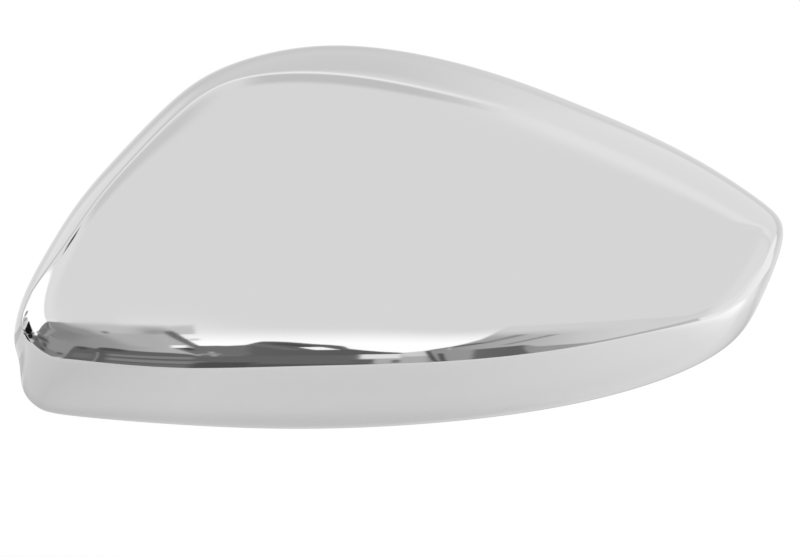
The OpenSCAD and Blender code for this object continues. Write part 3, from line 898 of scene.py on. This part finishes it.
class Directions:
    """Nodes that work out brightness from yaw and pitch."""

    def __init__(self, tree):
        self.tree = tree
        place = add_node(tree, "ShaderNodeTexCoord").outputs["Generated"]
        x, y, z = add_node(tree, "ShaderNodeSeparateXYZ", inputs={0: place}).outputs
        front = add_node(tree, MATHS, {"operation": "MULTIPLY"}, {0: y, 1: -1.0})
        side = add_node(tree, MATHS, {"operation": "ARCSINE"}, {0: x})
        up = {0: z, 1: front.outputs["Value"]}
        up = add_node(tree, MATHS, {"operation": "ARCTAN2"}, up)
        self.yaw, self.pitch = (
            add_node(tree, MATHS, {"operation": "DEGREES"}, {0: way.outputs["Value"]}).outputs["Value"]
            for way in (side, up)
        )

    def by_points(self, socket, points):
        """A value that runs straight between points of angle and value."""
        first, last = points[0][0], points[-1][0]
        values = [value for _, value in points]
        low, high = min(values), max(values)
        run = {"Value": socket, "From Min": first, "From Max": last}
        share = add_node(self.tree, RANGE, inputs=run).outputs["Result"]
        ramp = add_node(self.tree, "ShaderNodeValToRGB", inputs={"Fac": share})
        stops = ramp.color_ramp.elements
        for i, (angle, value) in enumerate(points):
            place = (angle - first) / (last - first)
            stop = stops[i] if i < 2 else stops.new(place)
            stop.position = place
            stop.color = [(value - low) / (high - low)] * 3 + [1]
        level = {"Color": ramp.outputs["Color"]}
        level = add_node(self.tree, "ShaderNodeSeparateColor", inputs=level)
        back = {"Value": level.outputs["Red"], "To Min": low, "To Max": high}
        return add_node(self.tree, RANGE, inputs=back).outputs["Result"]

    def step(self, socket, at, soft):
        """0 below a value and 1 above it, with a soft edge."""
        edge = {"Value": socket, "From Min": at - soft, "From Max": at + soft}
        step = add_node(self.tree, RANGE, {"interpolation_type": "SMOOTHSTEP"}, edge)
        return step.outputs["Result"]

    def past(self, socket, line, soft):
        """0 where a value is below another and 1 where it is above it, with a soft edge."""
        over = add_node(self.tree, MATHS, {"operation": "SUBTRACT"}, {0: socket, 1: line})
        return self.step(over.outputs["Value"], 0, soft)

    def within(self, socket, half, soft):
        """1 within half of zero, with soft edges."""
        off = add_node(self.tree, MATHS, {"operation": "ABSOLUTE"}, {0: socket})
        return self.step(off.outputs["Value"], half, -soft)

    def every(self, share, *others):
        """1 where every one of the shares is 1."""
        for other in others:
            both = add_node(self.tree, MATHS, {"operation": "MULTIPLY"}, {0: share, 1: other})
            share = both.outputs["Value"]
        return share

    def layered(self, under, *layers):
        """What is under, with values laid over it, each by its share."""
        for share, over in layers:
            parts = {0: share, 2: under, 3: over}
            mix = add_node(self.tree, "ShaderNodeMix", {"data_type": "FLOAT"}, parts)
            under = mix.outputs["Result"]
        return under

    def with_panels(self, under, panels):
        """What is under, with leaning panels of light and shade over it."""
        for yaw_a, yaw_b, pitch_a, pitch_b, lean, soft, value in panels:
            centre = (pitch_a + pitch_b) / 2
            start = lean * centre - (yaw_a + yaw_b) / 2
            back = {0: self.pitch, 1: -lean, 2: start}
            back = add_node(self.tree, MATHS, {"operation": "MULTIPLY_ADD"}, back)
            aside = {0: self.yaw, 1: back.outputs["Value"]}
            aside = add_node(self.tree, MATHS, {"operation": "ADD"}, aside)
            across = self.within(aside.outputs["Value"], (yaw_b - yaw_a) / 2, soft)
            rise = {0: self.pitch, 1: centre}
            rise = add_node(self.tree, MATHS, {"operation": "SUBTRACT"}, rise)
            along = self.within(rise.outputs["Value"], (pitch_b - pitch_a) / 2, soft)
            under = self.layered(under, (self.every(across, along), value))
        return under


def mirrored_room(tree):
    """Brightness of what the plating mirrors, by direction."""
    way = Directions(tree)
    ends = way.every(
        way.step(way.yaw, GLOW_FROM, END_SOFT),
        way.step(way.yaw, GLOW_TO, -END_SOFT),
        way.step(way.pitch, FLOOR_PITCH, FLOOR_SOFT),
    )
    top = way.by_points(way.yaw, GLOW_TOP)
    glow = way.every(ends, way.past(top, way.pitch, GLOW_SOFT))
    top = {0: way.by_points(way.yaw, GLOW_TOP), 1: HALO_RISE}
    halo_top = add_node(tree, MATHS, {"operation": "ADD"}, top).outputs["Value"]
    halo = way.every(ends, way.past(halo_top, way.pitch, HALO_SOFT))
    air = way.layered(way.by_points(way.pitch, AIR), (halo, HALO), (glow, GLOW))
    air = way.with_panels(air, AIR_PANELS)
    above, below = way.by_points(way.yaw, ABOVE), way.by_points(way.yaw, BELOW)
    under_counter = way.past(way.by_points(way.yaw, COUNTER), way.pitch, COUNTER_SOFT)
    things = way.with_panels(way.layered(above, (under_counter, below)), THING_PANELS)
    left, right = way.by_points(way.yaw, SKYLINE_LEFT), way.by_points(way.yaw, SKYLINE_RIGHT)
    skyline = way.layered(left, (way.step(way.yaw, SKY_SPLIT, SPLIT_SOFT), right))
    standing = way.every(
        way.past(skyline, way.pitch, SKYLINE_SOFT),
        way.step(way.pitch, FLOOR_PITCH, FLOOR_SOFT),
    )
    room = way.layered(air, (standing, things))
    flag = way.every(
        way.past(way.yaw, way.by_points(way.pitch, FLAG_LEFT), FLAG_LEFT_SOFT),
        way.past(way.by_points(way.pitch, FLAG_RIGHT), way.yaw, FLAG_RIGHT_SOFT),
    )
    return way.layered(room, (flag, FLAG_GREY))


def world():
    """White diffuse light all round; mirrored rays see a dim room in front, over the table."""
    scene_world = bpy.data.worlds.new("photo_room")
    bpy.context.scene.world = scene_world
    scene_world.use_nodes = True
    tree = scene_world.node_tree
    tree.nodes.clear()
    room = {"Color": mirrored_room(tree), "Strength": 1.0}
    room = add_node(tree, "ShaderNodeBackground", inputs=room).outputs["Background"]
    white = {"Color": (1, 1, 1, 1), "Strength": 1.0}
    white = add_node(tree, "ShaderNodeBackground", inputs=white).outputs["Background"]
    mirrored = add_node(tree, "ShaderNodeLightPath").outputs["Is Glossy Ray"]
    mixed = add_node(tree, "ShaderNodeMixShader", inputs={0: mirrored, 1: white, 2: room})
    add_node(tree, "ShaderNodeOutputWorld", inputs={"Surface": mixed.outputs["Shader"]})


LAMP_AT, LAMP_SIDE, LAMP_WATTS = (0.9, -1.3, 1.3), 0.8, 11


def soft_box():
    """Lamp over the viewer's right shoulder, which the plating doesn't show."""
    data = bpy.data.lights.new("soft_box", "AREA")
    data.shape = "SQUARE"
    data.size = LAMP_SIDE
    data.energy = LAMP_WATTS
    lamp = bpy.data.objects.new("soft_box", data)
    bpy.context.scene.collection.objects.link(lamp)
    lamp.location = LAMP_AT
    lamp.rotation_euler = (-lamp.location).to_track_quat("-Z", "Y").to_euler()
    lamp.visible_camera = False
    lamp.visible_glossy = False


FAR, SENSOR_MM = 3.0, 36
# The frame, and where the cover's left end and foot lie in it, in pixels
FRAME_W, FRAME_H = 800, 557
PIXELS_WIDE, LEFT_PX, FOOT_PX = 772, 13, 429


def camera():
    """Level, from the front and far off, as a catalogue photograph is taken."""
    mm_per_pixel = COVER_W / PIXELS_WIDE
    data = bpy.data.cameras.new("camera")
    data.sensor_width = SENSOR_MM
    data.lens = data.sensor_width * FAR / (FRAME_W * mm_per_pixel / 1000)
    data.clip_end = 20
    eye = bpy.data.objects.new("camera", data)
    bpy.context.scene.collection.objects.link(eye)
    x = (FRAME_W / 2 - LEFT_PX) * mm_per_pixel - ORIGIN[0]
    z = (FOOT_PX - FRAME_H / 2) * mm_per_pixel - ORIGIN[2]
    eye.location = (x / 1000, -FAR, z / 1000)
    eye.rotation_euler = (math.pi / 2, 0, 0)
    bpy.context.scene.camera = eye


photo_table()
black_card()
world()
soft_box()
camera()
bpy.context.scene.view_settings.view_transform = "Standard"
